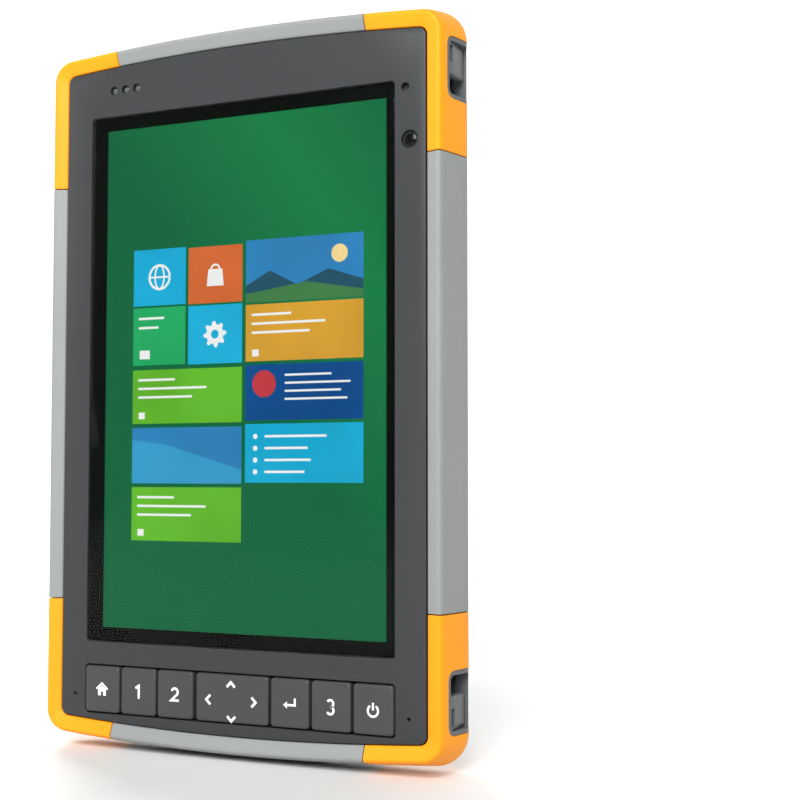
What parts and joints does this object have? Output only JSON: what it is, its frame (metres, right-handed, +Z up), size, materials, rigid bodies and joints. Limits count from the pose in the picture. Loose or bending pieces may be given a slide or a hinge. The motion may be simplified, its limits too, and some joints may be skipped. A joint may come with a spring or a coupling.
{
  "type": "data collector",
  "caption": "Rugged field data collector: a handheld tablet with a portrait touch display, a key row, corner and edge bumpers, strap lugs and a latched battery door.",
  "frame": {"origin": "on the floor under the middle of the bounding box, the device standing upright on its bottom bumper", "axes": "+Z up the long side, -Y out of the display towards the user, +X to the user's right"},
  "size_m": [0.136, 0.035, 0.215],
  "materials": {
    "bezel_grey": "fine-grained dark grey glass-filled plastic, satin",
    "case_grey": "mid grey moulded plastic, fine spark texture",
    "bumper_orange": "orange overmoulded elastomer, matte",
    "bumper_grey": "light grey overmoulded elastomer, matte",
    "key_grey": "dark grey key caps, satin, white symbols",
    "display_glass": "strengthened cover glass with a black border",
    "display_panel": "liquid-crystal panel",
    "frame_metal": "die-cast, bead blasted",
    "board_green": "printed circuit board",
    "black_rubber": "black elastomer",
    "black_plastic": "black moulded plastic",
    "screw_black": "black oxide steel",
    "brass": "bright turned brass",
    "steel": "stainless spring steel",
    "lens_glass": "coated dark glass",
    "light_pipe": "frosted clear plastic",
    "cell_blue": "sleeved lithium cells"
  },
  "bodies": {
    "case": {"front_bezel": "bezel_grey", "touch_glass": "display_glass", "lcd_panel": "display_panel", "mid_frame": "frame_metal", "rear_case": "case_grey", "service_panel": "case_grey", "edge_bumper_top": "bumper_grey", "edge_bumper_bottom": "bumper_grey", "edge_bumper_left": "bumper_grey", "edge_bumper_right": "bumper_grey", "main_seal": "black_rubber", "battery_seal": "black_rubber", "keypad_board": "board_green", "main_board": "board_green", "latch_spring": "steel", "battery_contacts": "brass", "rear_camera": "black_plastic", "front_camera": "black_plastic", "speaker": "black_plastic", "power_jack": "black_plastic", "rear_camera_window": "lens_glass", "flash_lens": "light_pipe", "status_lights": "light_pipe", "corner_bumper_top_left": "bumper_orange", "strap_lug_top_left": "black_plastic", "corner_bumper_top_right": "bumper_orange", "strap_lug_top_right": "black_plastic", "corner_bumper_bottom_left": "bumper_orange", "strap_lug_bottom_left": "black_plastic", "corner_bumper_bottom_right": "bumper_orange", "strap_lug_bottom_right": "black_plastic", "insert_top_left": "brass", "insert_top_right": "brass", "insert_bottom_right": "brass", "case_screw_left_1": "screw_black", "case_screw_left_2": "screw_black", "case_screw_left_3": "screw_black", "case_screw_left_4": "screw_black", "case_screw_right_1": "screw_black", "case_screw_right_2": "screw_black", "case_screw_right_3": "screw_black", "top_screw_left": "screw_black", "top_screw_right": "screw_black", "panel_screw_top": "screw_black", "panel_screw_middle": "screw_black", "panel_screw_bottom": "screw_black", "panel_screw_outer_top": "screw_black", "panel_screw_outer_bottom": "screw_black"},
    "battery": {"battery_cover": "case_grey", "battery_cells": "cell_blue"},
    "latch": {"latch_slider": "case_grey"},
    "port_cover": {"port_cover": "black_rubber"},
    "dpad_pivot": {"dpad_pivot": "steel"},
    "key_dpad": {"key_dpad": "key_grey"},
    "key_home": {"key_home": "key_grey"},
    "key_p1": {"key_p1": "key_grey"},
    "key_p2": {"key_p2": "key_grey"},
    "key_enter": {"key_enter": "key_grey"},
    "key_p3": {"key_p3": "key_grey"},
    "key_power": {"key_power": "key_grey"}
  },
  "joints": [
    {"name": "key_home_press", "type": "slide", "parent": "case", "child": "key_home", "axis": [0, 1, 0], "range_m": [0, 0.0008], "stiffness_N_per_m": 1500},
    {"name": "key_p1_press", "type": "slide", "parent": "case", "child": "key_p1", "axis": [0, 1, 0], "range_m": [0, 0.0008], "stiffness_N_per_m": 1500},
    {"name": "key_p2_press", "type": "slide", "parent": "case", "child": "key_p2", "axis": [0, 1, 0], "range_m": [0, 0.0008], "stiffness_N_per_m": 1500},
    {"name": "key_enter_press", "type": "slide", "parent": "case", "child": "key_enter", "axis": [0, 1, 0], "range_m": [0, 0.0008], "stiffness_N_per_m": 1500},
    {"name": "key_p3_press", "type": "slide", "parent": "case", "child": "key_p3", "axis": [0, 1, 0], "range_m": [0, 0.0008], "stiffness_N_per_m": 1500},
    {"name": "key_power_press", "type": "slide", "parent": "case", "child": "key_power", "axis": [0, 1, 0], "range_m": [0, 0.0008], "stiffness_N_per_m": 1500},
    {"name": "dpad_tilt_up_down", "type": "hinge", "parent": "case", "child": "dpad_pivot", "pos_m": [-0.0002, -0.0129, 0.018], "axis": [1, 0, 0], "range_deg": [-4, 4], "stiffness_Nm_per_rad": 0.25},
    {"name": "dpad_tilt_left_right", "type": "hinge", "parent": "dpad_pivot", "child": "key_dpad", "pos_m": [-0.0002, -0.0129, 0.018], "axis": [0, 0, 1], "range_deg": [-2.4, 2.4], "stiffness_Nm_per_rad": 0.4},
    {"name": "battery_latch", "type": "slide", "parent": "case", "child": "latch", "axis": [0, 0, -1], "range_m": [0, 0.007], "stiffness_N_per_m": 300, "deforming": ["latch_spring"]},
    {"name": "battery_lift_out", "type": "slide", "parent": "case", "child": "battery", "axis": [0, 1, 0], "range_m": [0, 0.04]},
    {"name": "port_cover_hinge", "type": "hinge", "parent": "case", "child": "port_cover", "pos_m": [0.034, -0.00113, 0.00231], "axis": [-1, 0, 0], "range_deg": [0, 110]}
  ]
}
